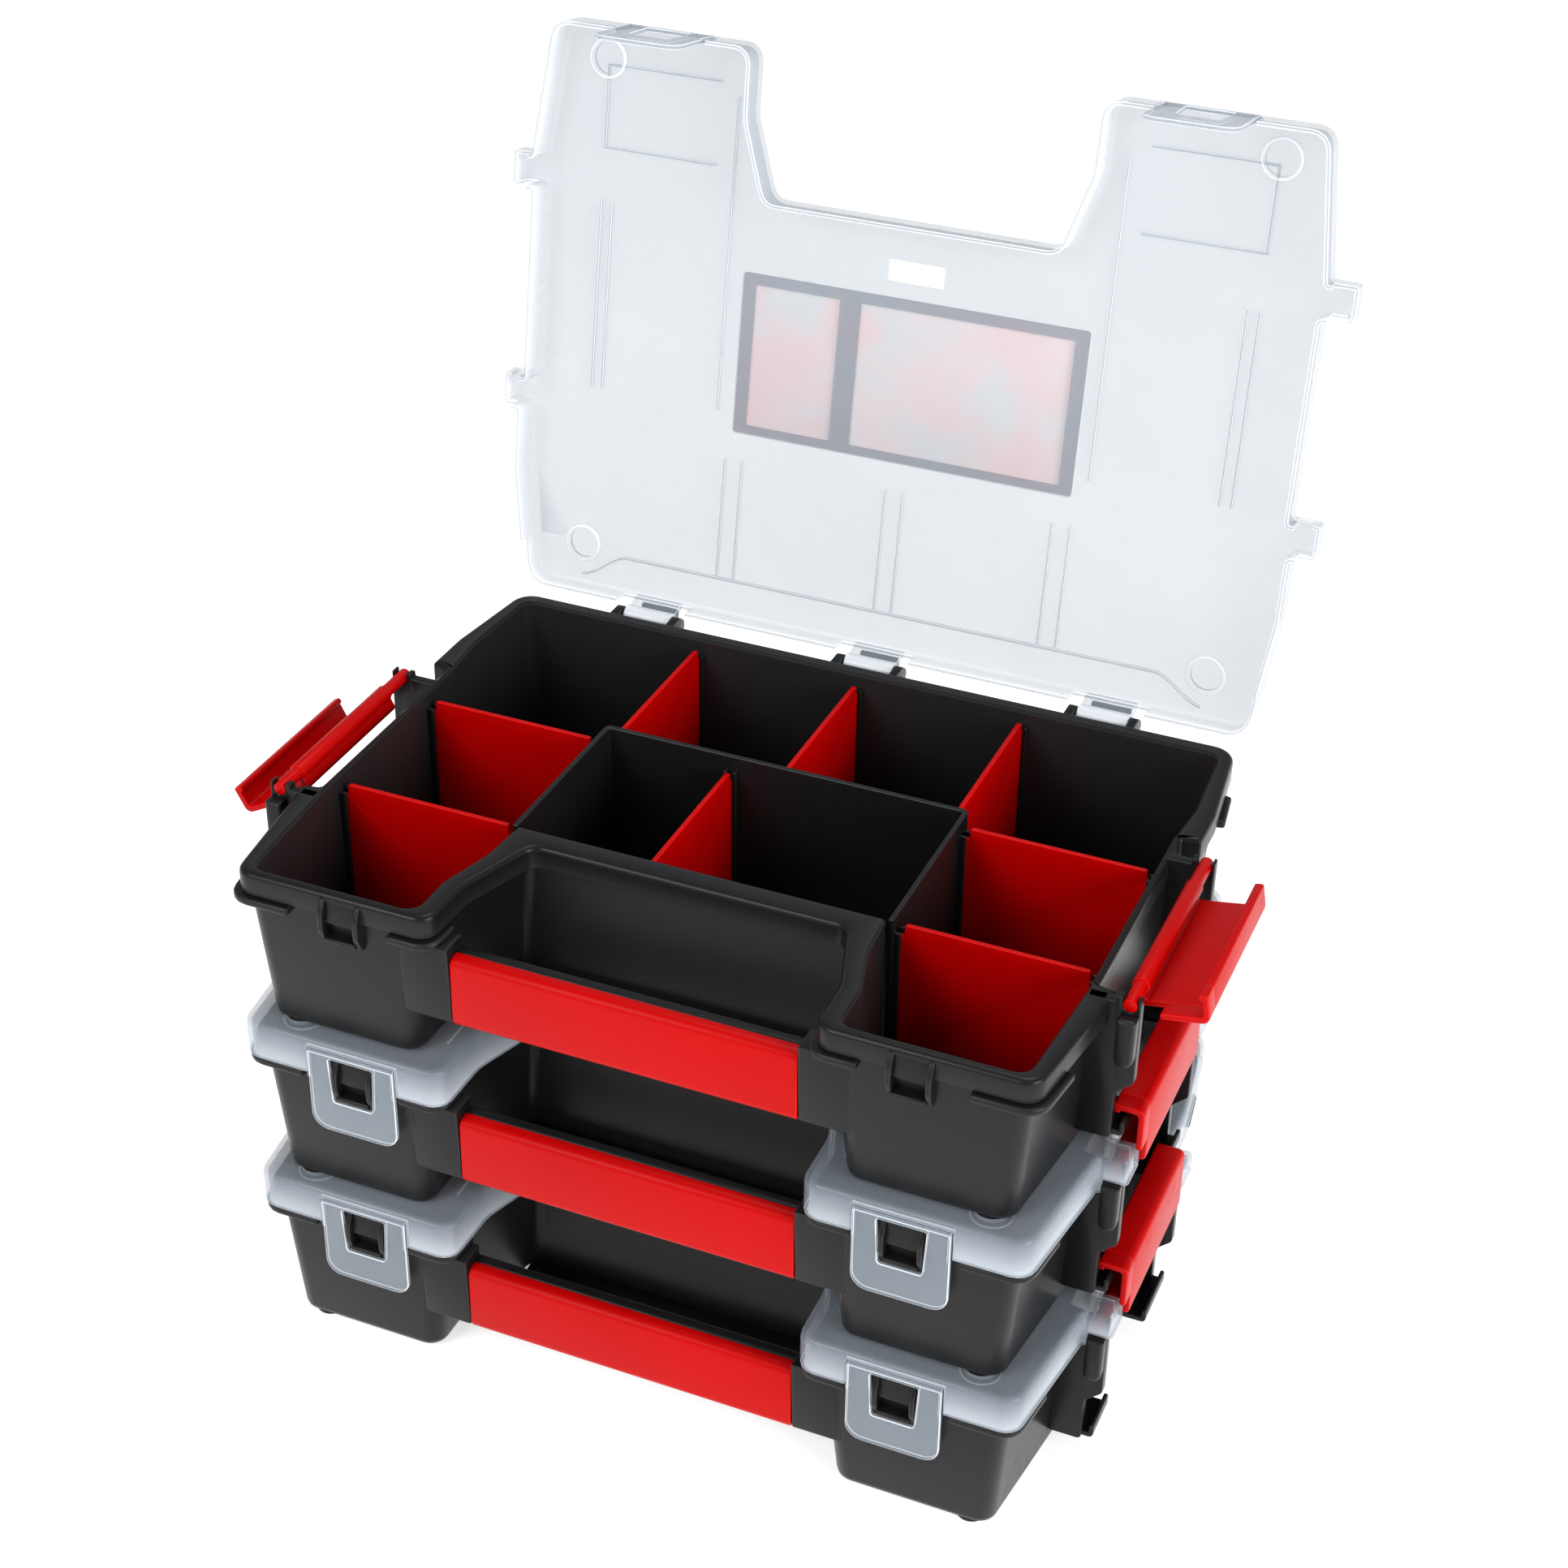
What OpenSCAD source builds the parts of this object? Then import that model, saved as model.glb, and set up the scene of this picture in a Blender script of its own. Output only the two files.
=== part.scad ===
// Three small-parts cases that stack and latch together.
// Millimetres, +X right, +Y back, +Z up. The origin is on the surface the stack stands on,
// under the middle of its overall box with the top lid open.
// Every case is drawn in its own frame: z = 0 is the top of its rim and y = 0 its rear wall.

/* [Stack] */
// Height from one case's rim to the next
pitch = 62; // [62:0.5:70]
// Angle of the open top lid from closed
lid_open = 99.5; // [60:0.5:99.5]
// Angle of the open top right latch from closed
latch_open = 80; // [40:1:80]
// Angle of the hanging top left latch from closed
latch_drop = 118; // [90:1:118]

/* [Tray] */
// Thickness of the tray's outer walls
wall = 2; // [1.6:0.1:2.4]
// Thickness of the tray's floor
floor_t = 1.8; // [1.4:0.1:2.4]
// Height of the downturned rim flange
rim_h = 8.2; // [8.2:0.1:9]
// Thickness of the rim flange
rim_t = 1.8; // [1.4:0.1:2.2]
// Thickness of the centre box walls
inner_t = 1.8; // [1.4:0.1:2.2]
// Height of the feet
foot_h = 1.2; // [1:0.1:1.3]

/* [Dividers] */
// Thickness of a divider
divider_t = 1.6; // [1.2:0.1:1.8]
// Clear width of a divider slot
slot_w = 2.2; // [2.2:0.1:2.6]
// Drop of the divider tops below the rim
divider_drop = 3; // [2:0.5:8]

/* [Lid] */
// Height of the lid's top above the rim
lid_top = 5.7; // [5.7:0.1:6]
// Thickness of the lid's top panel
lid_t = 1.6; // [1.6:0.1:1.8]
// Thickness of the lid's skirt
skirt_t = 1.5; // [1.3:0.1:1.6]
// Depth of the skirt below the rim top
skirt_h = 8; // [7:0.5:8]

/* [Clasps] */
// Width of a front clasp
clasp_w = 31; // [30:0.5:31]
// Depth of a front clasp below the rim top
clasp_h = 29; // [26:0.5:30]

/* [Handle] */
// Length of the handle grip
grip_l = 114; // [108:1:114]
// Height of the handle grip
grip_h = 25.2; // [25:0.1:27]

/* [Side latches] */
// Height of the latch above the rim top
latch_top = 21.5; // [21.5:0.1:22]
// Thickness of the latch's plate
latch_t = 2; // [1.8:0.1:2]

/* [Hidden] */
tiers = ["bottom", "middle", "top"];
pieces = ["tray", "lid", "clasp_left", "clasp_right", "grip", "latch_left", "latch_right",
          "divider_rear_left", "divider_rear_middle", "divider_rear_right",
          "divider_left_rear", "divider_left_front", "divider_right_rear",
          "divider_right_front", "divider_centre", "label_card"];
$fn = 48;

tray_h = pitch - lid_top;       // rim top to tray bottom, so that a tray rests on the lid below
inner_floor = -tray_h + floor_t;
cut = 0.1;                      // overlap of a cut past the face it opens

// Outlines: [x, y, corner radius], clockwise from the rear, right half only.
cavity_half = [[0, 0.5, 0], [128.2, 0.5, 4], [130.4, -35, 30], [128.4, -60, 30], [128.4, -146, 20],
               [125.3, -186, 4], [68.9, -186, 4], [68.8, -170, 10], [62.2, -146, 10],
               [62.2, -132, 0], [0, -132, 0]];
rim_half = [[0, 6.5, 0], [132.6, 6.5, 7], [137.2, -34, 20], [137.2, -52, 1], [129.6, -52, 0],
            [129.6, -138, 0], [136.8, -138, 1], [130, -190, 5], [62, -190, 4], [61.7, -168, 20],
            [52.6, -140.3, 4], [0, -140.3, 0]];
ear_rear = [-56, -68];          // the lid's ears, over the latch pivots
ear_front = [-134, -146];
ear_x = 147.2;
side_x = 137.4;                 // lid edge between the ears
lid_half = [[0, 8.8, 0], [133.9, 8.8, 8], [139.4, -34, 20], [139.4, ear_rear[0], 1],
            [ear_x, ear_rear[0], 1.5], [ear_x, ear_rear[1], 1.5], [side_x, ear_rear[1], 1],
            [side_x, ear_front[0], 1], [ear_x, ear_front[0], 1.5], [ear_x, ear_front[1], 1.5],
            [138, ear_front[1], 1], [131.9, -192.2, 6.5], [59.8, -192.2, 6], [59.5, -168.4, 18],
            [51, -142.5, 5], [0, -142.5, 0]];

// Lid hinge: axis, stations across the back, lugs on the tray and knuckles on the lid
hinge_y = 12.5;
hinge_z = -3.5;
hinge_x = [-85, 0, 85];
hinge_pin_r = 2;
hinge_bore_r = 2.08;
knuckle_r = 3.5;
knuckle_w = 18;
lug_t = 3;
lug_gap = 18.7;

// Centre box and slots
box_x = 62.6;                   // inner face of the centre box's side walls
box_y = -65.9;                  // inner face of the centre box's rear wall
box_front = -132;
gap_lip = [61, -140];           // floor's forward lip under the finger gap
rear_slots = [-60, 0, 60];
side_slots = [-70.5, -128.5];
centre_slot = -18;
side_wall = 128.4;
rib = [1.2, 2];                 // width and depth of a slot rib
rib_top = -6;
end_gap = 0.3;                  // play at each end of a divider

// Feet and the sockets for the feet of the case above
foot_at = [[116, -8], [-116, -8], [116, -180], [-116, -180]];
foot_r = 5;

// Front clasps and the catches behind them
clasp_x = 92.5;
clasp_y = [-192.5, -190.9];
clasp_axis = [-191.7, 1.4];
clasp_pin_r = 0.8;
window_x = 7.5;
window_z = [-17, -0.2];

// Side latches: pivot, seats and the plates that carry them
pivot_x = 142;
pivot_z = -0.5;
barrel_r = 2.8;
latch_pin_r = 2.2;
seat_r = 2.27;
plate_x = 148.7;                // outer face of a closed latch
lip_x = 139;                    // tip of the latch's top lip
latch_y = [-133.3, -76.5];
latch_strip_y = -139.5;
bracket_y = [[-144, -140.5], [-66, -62.5]];
rail_y = [[-143, -127], [-85, -63]];

// Handle
core_y = [-186.4, -179];
core_z = [-37.2, -15.6];
bar_z = [-38.3, -13.8];
grip_back = -183;
grip_skin = 1.4;

// Middle of the stack's depth, with the top lid open
front_y = -192.9;
lid_reach = 192.2 + hinge_y;
back_y = hinge_y - lid_reach * cos(lid_open) + (lid_top - hinge_z) * sin(lid_open);
mid_y = (front_y + back_y) / 2;

function rim_z(t) = foot_h + tray_h + t * pitch;
function unit(v) = v / norm(v);
function at(p, i) = p[(i + len(p)) % len(p)];
function xy(p) = [p[0], p[1]];
function right_of(v) = [v[1], -v[0]];
function dot2(a, b) = a[0] * b[0] + a[1] * b[1];

// Left half added to a right half
function whole(half) = concat(half, [for (i = [len(half) - 1 : -1 : 0])
                                     if (half[i][0] > 0) [-half[i][0], half[i][1], half[i][2]]]);

// One corner of an outline as an arc of its radius
function corner(a, b, c, r) =
    let (u = unit(xy(a) - xy(b)), v = unit(xy(c) - xy(b)), half = acos(dot2(u, v)) / 2)
    r < 0.01 || half > 89.9 ? [xy(b)] :
    let (mid = xy(b) + unit(u + v) * r / sin(half), s = xy(b) + u * r / tan(half) - mid,
         turn = (180 - 2 * half) * sign(u[1] * v[0] - u[0] * v[1]),
         steps = max(1, ceil(abs(turn) / 15)))
    [for (k = [0 : steps]) let (t = turn * k / steps)
        mid + [s[0] * cos(t) - s[1] * sin(t), s[0] * sin(t) + s[1] * cos(t)]];

function rounded(p) = [for (i = [0 : len(p) - 1])
                       each corner(at(p, i - 1), p[i], at(p, i + 1), p[i][2])];

// A clockwise outline moved inwards by d, each corner's radius following
function inset(p, d) = [for (i = [0 : len(p) - 1])
    let (u = unit(xy(p[i]) - xy(at(p, i - 1))), v = unit(xy(at(p, i + 1)) - xy(p[i])),
         n = right_of(u), m = right_of(v), q = xy(p[i]) + d * (n + m) / (1 + dot2(n, m)),
         bend = sign(dot2(n, v)), r = p[i][2])
    [q[0], q[1], r == 0 ? 0 : max(0.2, r - bend * d)]];

module slab(p, z0, z1) translate([0, 0, z0]) linear_extrude(z1 - z0) polygon(rounded(p));

module block(x, y, z) translate([min(x), min(y), min(z)])
    cube([max(x) - min(x), max(y) - min(y), max(z) - min(z)]);

module rod(x, r, y, z) translate([min(x), y, z]) rotate([0, 90, 0]) cylinder(r = r, h = max(x) - min(x));

module bar(y, r, x, z) translate([x, max(y), z]) rotate([90, 0, 0]) cylinder(r = r, h = max(y) - min(y));

// Profile in the XZ plane, carried along Y
module along_y(p, y) translate([0, max(y), 0]) rotate([90, 0, 0]) linear_extrude(max(y) - min(y)) polygon(p);

// Profile in the YZ plane, carried along X
module along_x(p, x) translate([min(x), 0, 0]) rotate([90, 0, 90]) linear_extrude(max(x) - min(x)) polygon(p);

module both_sides() {
    children();
    mirror([1, 0, 0]) children();
}

module slot_ribs(across, along, wall_at, into) {
    for (s = [-1, 1]) {
        a = across + s * (slot_w + rib[0]) / 2;
        reach = [wall_at - into * 0.5, wall_at + into * rib[1]];
        z = [inner_floor - 0.5, rib_top];
        if (along == "y") block([a - rib[0] / 2, a + rib[0] / 2], reach, z);
        else block(reach, [a - rib[0] / 2, a + rib[0] / 2], z);
    }
}

module tray_shell() {
    cavity = whole(cavity_half);
    rim = whole(rim_half);
    difference() {
        union() {
            slab(inset(cavity, -wall), -tray_h, 0);
            slab(rim, -rim_t, 0);
            block([-gap_lip[0], gap_lip[0]], [gap_lip[1], box_front - 1], [-tray_h, inner_floor]);
            difference() {
                slab(rim, -rim_h, 0);
                slab(inset(rim, rim_t), -rim_h - cut, -rim_t);
            }
            both_sides() ledges(rim);
        }
        slab(cavity, inner_floor, cut);
    }
}

// Short shelves that the lid's skirt closes down to
module ledges(rim) {
    z = [-10.9, -rim_h];
    intersection() {
        slab(inset(rim, -2.2), z[0], z[1]);
        union() {
            block([111, 140], [-195, -170], z);
            block([50, 76.4], [-195, -184], z);
            block([128, 140], [-25, -10], z);
        }
    }
}

module centre_box() {
    z = [inner_floor - 0.5, -0.5];
    difference() {
        union() {
            block([-box_x - inner_t, box_x + inner_t], [box_y, box_y + inner_t], z);
            both_sides() block([box_x, box_x + inner_t], [box_front - 0.5, box_y + 0.5], z);
        }
        both_sides() block([box_x - 1, box_x + inner_t + 1], [-103, -95], [-3.5, 1]);
    }
    for (x = rear_slots) {
        slot_ribs(x, "y", 0.5, -1);
        slot_ribs(x, "y", box_y + inner_t, 1);
    }
    both_sides() for (y = side_slots) {
        slot_ribs(y, "x", side_wall, -1);
        slot_ribs(y, "x", box_x + inner_t, 1);
    }
    slot_ribs(centre_slot, "y", box_y, -1);
    slot_ribs(centre_slot, "y", box_front, 1);
}

// Handle bar between the arms, with a block at each end
module handle_core() {
    block([-67.5, 67.5], core_y, core_z);
    block([-67.5, 67.5], [grip_back, core_y[1]], bar_z);
    both_sides() block([grip_l / 2, 67.2], [-188, -179], [-38.3, -10]);
}

// Plate that carries a latch's pin, with a snap seat open at the top
module bracket(y) {
    outline = [[129.5, -50], [139.8, -50], [139.8, -33], [145.3, -28], [145.3, 1.8],
               [137.9, 1.8], [137.9, 0], [129.5, 0]];
    difference() {
        along_y(outline, y);
        bar([y[0] - cut, y[1] + cut], seat_r, pivot_x, pivot_z);
        block([pivot_x - 1.95, pivot_x + 1.95], [y[0] - cut, y[1] + cut], [pivot_z, 3]);
    }
}

module latch_mounts() {
    for (y = bracket_y) bracket(y);
    for (y = rail_y) {
        block([129.5, 143.5], y, [-49, -47]);
        block([142, 143.5], y, [-49, -43.8]);
    }
    boss_y = [bracket_y[0][0] - 4.5, bracket_y[0][0] + 0.5];
    block([139.5, 145], boss_y, [-17.2, -3.2]);
    bar(boss_y, 2.75, 142.25, -17.2);
}

// Catch for a clasp's window: a nose and a plate with a pocket between, and two curved cheeks
module catch_block() {
    cheek = [[-187.5, -1.5], [-191.6, -1.5], [-192.9, -4], [-192.9, -13.5], [-190.8, -16.6],
             [-187.5, -18.6]];
    nose = [[-187.5, -16.4], [-192.2, -16.4], [-192.2, -14.6], [-187.5, -13.8]];
    plate = [[-187.5, -1.5], [-190, -2.5], [-191.4, -9.6], [-187.5, -9.6]];
    for (s = [-1, 1]) along_x(cheek, [clasp_x + s * 5.3, clasp_x + s * 6.9]);
    for (side = [nose, plate]) along_x(side, [clasp_x - 5.4, clasp_x + 5.4]);
}

// Lugs with the hinge pin between them, and the stop that the open lid leans on
module hinge_lugs() {
    lug = [[5.5, 0], [12, 0], [17, -3.5], [14.5, -7.9], [5.5, -7.9]];
    for (x = hinge_x) {
        for (s = [-1, 1]) along_x(lug, [x + s * lug_gap / 2, x + s * (lug_gap / 2 + lug_t)]);
        rod([x - lug_gap / 2 - 1, x + lug_gap / 2 + 1], hinge_pin_r, hinge_y, hinge_z);
        block([x - 7, x + 7], [5.5, 22.4], [-9, -7.6]);
        block([x - 7, x + 7], [20.4, 22.4], [-9, -3]);
    }
}

module tray() {
    color("#2e2e2e") {
        tray_shell();
        centre_box();
        handle_core();
        both_sides() {
            latch_mounts();
            catch_block();
        }
        hinge_lugs();
        for (p = foot_at) translate([p[0], p[1], -tray_h - foot_h]) cylinder(r = foot_r, h = foot_h + 0.5);
    }
}

module knuckle(x) {
    web = [[9.6, -1.6], [7.3, lid_top - lid_t - 0.1], [7.3, lid_top], [8.8, lid_top], [14.2, -0.5]];
    span = [x - knuckle_w / 2, x + knuckle_w / 2];
    difference() {
        union() {
            rod(span, knuckle_r, hinge_y, hinge_z);
            along_x(web, span);
        }
        rod([span[0] - cut, span[1] + cut], hinge_bore_r, hinge_y, hinge_z);
    }
}

// Rounds off the skirt where it passes the hinge, the latch pins and the clasps
module lid_cuts(under) {
    block([-140, 140], [-8, 9], [-skirt_h - cut, hinge_z]);
    for (x = hinge_x) block([x - 13.5, x + 13.5], [6.5, 9], [-skirt_h - cut, under]);
    both_sides() {
        for (y = [ear_rear, ear_front])
            block([side_x - 2, ear_x + 1], [y[0] + 0.1, y[1] - 0.1], [-skirt_h - cut, -2.8]);
        block([139.2, 144.8], [ear_front[0] + 1, ear_front[0] - 2], [-skirt_h, 2.4]);
        block([139.2, 144.8], [ear_rear[1] - 1, ear_rear[1] + 2], [-skirt_h, 2.4]);
        block([clasp_x - clasp_w / 2 - 0.6, clasp_x + clasp_w / 2 + 0.6], [-193, -189.5],
              [-skirt_h - cut, 2.4]);
    }
}

module lid() {
    outline = whole(lid_half);
    under = lid_top - lid_t;
    color([0.78, 0.82, 0.86, 0.5]) {
        difference() {
            union() {
                slab(outline, under, lid_top);
                difference() {
                    slab(outline, -skirt_h, under + 0.2);
                    slab(inset(outline, skirt_t), -skirt_h - cut, under);
                    lid_cuts(under);
                }
                for (p = foot_at) translate([p[0], p[1], under - 1.4]) cylinder(r = 7, h = 2);
                for (x = rear_slots) for (s = [-3, 3])
                    block([x + s - 0.6, x + s + 0.6], [-50, -6], [under - 1.2, under + 0.2]);
            }
            for (p = foot_at) translate([p[0], p[1], lid_top - foot_h - 0.2])
                cylinder(r = foot_r + 0.6, h = 3);
            block([-62, 62], [-116, -59], [lid_top - 0.7, lid_top + 1]);
            block([-57, -26], [-112, -62.5], [under - 1, lid_top]);
            block([-18.5, 57], [-112, -62.5], [under - 1, lid_top]);
            block([-10, 10], [-128.5, -121], [under - 1, lid_top + 1]);
        }
        for (x = hinge_x) knuckle(x);
    }
}

module label_card() color("#b9a3a3") block([-61.7, 61.7], [-115.7, -59.3], [lid_top - 0.7, lid_top - 0.2]);

module clasp() {
    side = clasp_w / 2;
    plate = [[clasp_x - side, clasp_axis[1], 0], [clasp_x + side, clasp_axis[1], 0],
             [clasp_x + side, -clasp_h, 5], [clasp_x - side, -clasp_h, 5]];
    color([0.78, 0.82, 0.86, 0.6]) difference() {
        union() {
            along_y(rounded(plate), clasp_y);
            rod([clasp_x - side, clasp_x + side], clasp_pin_r, clasp_axis[0], clasp_axis[1]);
        }
        block([clasp_x - window_x, clasp_x + window_x], [-193.5, -190], window_z);
    }
}

module grip() {
    y = [core_y[0] - grip_skin, grip_back];
    z = [core_z[0] - (grip_h - 21.6) / 2, core_z[1] + (grip_h - 21.6) / 2];
    outline = [[y[0], z[0], 2.5], [y[0], z[1], 2.5], [y[1], z[1], 0.4], [y[1], z[0], 0.4]];
    color("#d40000") difference() {
        along_x(rounded(outline), [-grip_l / 2, grip_l / 2]);
        block([-grip_l / 2 - 1, grip_l / 2 + 1], [core_y[0], grip_back + 1], core_z);
    }
}

// A side latch, closed: barrel and pins, web, plate, and the lip that hooks the rail above
module latch() {
    inner = plate_x - latch_t;
    hook = [[pivot_x, pivot_z - 1.3], [plate_x, pivot_z - 1.3], [plate_x, latch_top],
            [lip_x, latch_top], [lip_x, latch_top - 3], [lip_x + latch_t, latch_top - 3],
            [lip_x + latch_t, latch_top - latch_t], [inner, latch_top - latch_t],
            [inner, pivot_z + 0.7], [pivot_x, pivot_z + 0.7]];
    strip = [[inner, 6.5], [plate_x, 6.5], [plate_x, latch_top], [lip_x, latch_top],
             [lip_x, latch_top - 3], [lip_x + latch_t, latch_top - 3],
             [lip_x + latch_t, latch_top - latch_t], [inner, latch_top - latch_t]];
    color("#d40000") {
        along_y(hook, latch_y);
        along_y(strip, [latch_strip_y, latch_y[0] + 0.5]);
        bar(latch_y, barrel_r, pivot_x, pivot_z);
        bar([bracket_y[0][0], bracket_y[1][1]], latch_pin_r, pivot_x, pivot_z);
    }
}

// A divider standing in two slots: l long, its tabs narrower than its body at the top
module divider(l, drop) {
    z = [inner_floor + 0.2, -drop];
    outline = [[0, z[0]], [l, z[0]], [l, z[1] - 4], [l - 2.5, z[1] - 4], [l - 2.5, z[1]],
               [2.5, z[1]], [2.5, z[1] - 4], [0, z[1] - 4]];
    color("#d40000") along_y(outline, [-divider_t / 2, divider_t / 2]);
}

module rear_divider(x) translate([x, box_y + inner_t + end_gap, 0]) rotate([0, 0, 90])
    divider(0.5 - box_y - inner_t - 2 * end_gap, divider_drop);

module side_divider(y) translate([box_x + inner_t + end_gap, y, 0])
    divider(side_wall - box_x - inner_t - 2 * end_gap, divider_drop);

module centre_divider() translate([centre_slot, box_front + end_gap, 0]) rotate([0, 0, 90])
    divider(box_y - box_front - 2 * end_gap, divider_drop + 2);

module place(t) translate([0, -mid_y, rim_z(t)]) children();

module left() mirror([1, 0, 0]) children();

// The top lid stands open; the others are closed
module lid_pose(t) translate([0, hinge_y, hinge_z]) rotate([t == 2 ? -lid_open : 0, 0, 0])
    translate([0, -hinge_y, -hinge_z]) children();

// The top latches hang out; the others are hooked on the case above
module latch_pose(t, angle) translate([pivot_x, 0, pivot_z]) rotate([0, t == 2 ? angle : 0, 0])
    translate([-pivot_x, 0, -pivot_z]) children();

for (t = [0 : 2]) {
    n = tiers[t];
    place(t) tray();
    place(t) grip();
    place(t) lid_pose(t) lid();
    place(t) lid_pose(t) label_card();
    place(t) lid_pose(t) clasp();
    place(t) lid_pose(t) left() clasp();
    place(t) latch_pose(t, latch_open) latch();
    place(t) left() latch_pose(t, latch_drop) latch();
    place(t) rear_divider(rear_slots[0]);
    place(t) rear_divider(rear_slots[1]);
    place(t) rear_divider(rear_slots[2]);
    place(t) side_divider(side_slots[0]);
    place(t) side_divider(side_slots[1]);
    place(t) left() side_divider(side_slots[0]);
    place(t) left() side_divider(side_slots[1]);
    place(t) centre_divider();
}
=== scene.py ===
import math

import bmesh
import bpy
import numpy as np
from mathutils import Matrix, Vector
from mathutils.geometry import delaunay_2d_cdt


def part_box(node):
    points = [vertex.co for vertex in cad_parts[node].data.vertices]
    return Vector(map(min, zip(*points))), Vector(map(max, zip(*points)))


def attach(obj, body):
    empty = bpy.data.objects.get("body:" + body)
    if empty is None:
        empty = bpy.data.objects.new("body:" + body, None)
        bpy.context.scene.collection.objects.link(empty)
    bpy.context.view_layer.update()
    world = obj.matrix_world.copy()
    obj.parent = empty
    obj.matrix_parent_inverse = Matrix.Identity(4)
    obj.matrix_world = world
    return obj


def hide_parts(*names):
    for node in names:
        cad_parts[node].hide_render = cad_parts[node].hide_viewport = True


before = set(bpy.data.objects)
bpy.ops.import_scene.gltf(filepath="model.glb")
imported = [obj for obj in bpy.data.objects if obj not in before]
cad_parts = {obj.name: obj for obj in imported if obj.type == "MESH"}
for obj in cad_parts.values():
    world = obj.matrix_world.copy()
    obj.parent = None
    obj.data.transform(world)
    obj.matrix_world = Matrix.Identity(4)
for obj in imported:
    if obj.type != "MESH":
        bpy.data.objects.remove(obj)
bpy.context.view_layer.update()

# Everything below is in millimetres in one case's own frame: z = 0 at the rim's top, y = 0 at the
# cavity's rear wall. makePiece puts it where the frame says that case stands.
mm = 0.001
tiers = ["bottom", "middle", "top"]
gripTop, gripFront = -13.8, -187.8
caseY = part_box("bottom_grip")[0].y / mm - gripFront
rimZ = {t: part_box(f"{t}_grip")[1].z / mm - gripTop for t in tiers}
lidHinge = np.array([0, 12.5, -3.5])
lidOpen = math.radians(99.5)
latchPivot = np.array([142, 0, -0.5])
latchOpen = {"right": math.radians(80), "left": math.radians(118)}
arcSteps = 6


# outlines, as [x, y, corner radius]
def wholeOutline(half):
    # the right half, then its mirror image back to the start
    return half + [[-x, y, r] for x, y, r in reversed(half) if x > 0]


def unitRows(v):
    # each row divided by its own length
    return v / np.maximum(np.linalg.norm(v, axis=-1, keepdims=True), 1e-9)


def clockwise(outline):
    # reversed where its signed area, half the sum of x1 y2 - x2 y1, is above zero
    p = np.array(outline, float)
    area = (p[:, 0] * np.roll(p[:, 1], -1) - np.roll(p[:, 0], -1) * p[:, 1]).sum()
    return p[::-1] if area > 0 else p


def insetOutline(outline, d):
    # every edge moves inwards by d: p + d (n1 + n2) / (1 + n1.n2), and each radius follows
    p = clockwise(outline)
    xy = p[:, :2]
    u, v = unitRows(xy - np.roll(xy, 1, 0)), unitRows(np.roll(xy, -1, 0) - xy)
    n, m = np.stack([u[:, 1], -u[:, 0]], 1), np.stack([v[:, 1], -v[:, 0]], 1)
    q = xy + d * (n + m) / (1 + (n * m).sum(1))[:, None]
    r = np.maximum(p[:, 2] - np.sign((n * v).sum(1)) * d, 0.05)
    return np.column_stack([q, np.where(p[:, 2] > 0, r, 0)])


def arcPoints(outline, steps=arcSteps):
    # every corner becomes steps + 1 points: centre + r (cos a, sin a) between its two tangent points
    p = clockwise(outline)
    xy = p[:, :2]
    u, v = unitRows(np.roll(xy, 1, 0) - xy), unitRows(np.roll(xy, -1, 0) - xy)
    half = np.arccos(np.clip((u * v).sum(1), -1, 1)) / 2
    r = np.maximum(p[:, 2], 0.02)
    flat = half > math.radians(89.5)
    half = np.where(flat, math.radians(60), half)
    mid = xy + unitRows(u + v) * (r / np.sin(half))[:, None]
    first, last = xy + u * (r / np.tan(half))[:, None] - mid, xy + v * (r / np.tan(half))[:, None] - mid
    start = np.arctan2(first[:, 1], first[:, 0])
    turn = np.arctan2(last[:, 1], last[:, 0]) - start
    turn = (turn + math.pi) % (2 * math.pi) - math.pi
    k = np.linspace(0, 1, steps + 1)
    a = start[:, None] + turn[:, None] * k
    points = mid[:, None] + r[:, None, None] * np.stack([np.cos(a), np.sin(a)], -1)
    along = xy[:, None] + 0.02 * (v[:, None] * k[:, None] + u[:, None] * (1 - k)[:, None])
    return np.where(flat[:, None, None], along, points).reshape(-1, 2)


# solids, as (points, faces)
def ringAt(outline, d, z, steps=arcSteps):
    # the outline moved inwards by d, its corners made arcs, at height z
    xy = arcPoints(insetOutline(outline, d), steps)
    return np.column_stack([xy, np.broadcast_to(z, len(xy))])


def skin(rings, closed=False):
    # quads between rings of equal count, in order; closed joins the last ring to the first
    n, k = len(rings[0]), len(rings)
    i = np.arange(n)
    j = (i + 1) % n
    spans = [(a, (a + 1) % k) for a in range(k if closed else k - 1)]
    quads = np.concatenate([np.stack([a * n + i, a * n + j, b * n + j, b * n + i], 1) for a, b in spans])
    return np.concatenate(rings), quads.tolist()


def capped(rings):
    # a skin with one flat face on its first ring and one on its last
    points, faces = skin(rings)
    n = len(rings[0])
    return points, faces + [list(range(n)), list(range(len(points) - n, len(points)))]


def turned(solid, axis):
    # the outline's plane and its height, laid along the named axis
    order = {"z": (0, 1, 2), "y": (0, 2, 1), "x": (2, 0, 1)}[axis]
    return solid[0][:, order], solid[1]


def slab(outline, low, high, edge=0.4, axis="z", steps=4):
    # an outline carried from low to high, both ends rounded by a quarter circle of radius edge
    a = np.linspace(0, math.pi / 2, 4)
    inward, rise = edge * (1 - np.sin(a)), edge * (1 - np.cos(a))
    rings = [ringAt(outline, d, low + h, steps) for d, h in zip(inward, rise)]
    rings += [ringAt(outline, d, high - h, steps) for d, h in zip(inward[::-1], rise[::-1])]
    return turned(capped(rings), axis)


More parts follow.
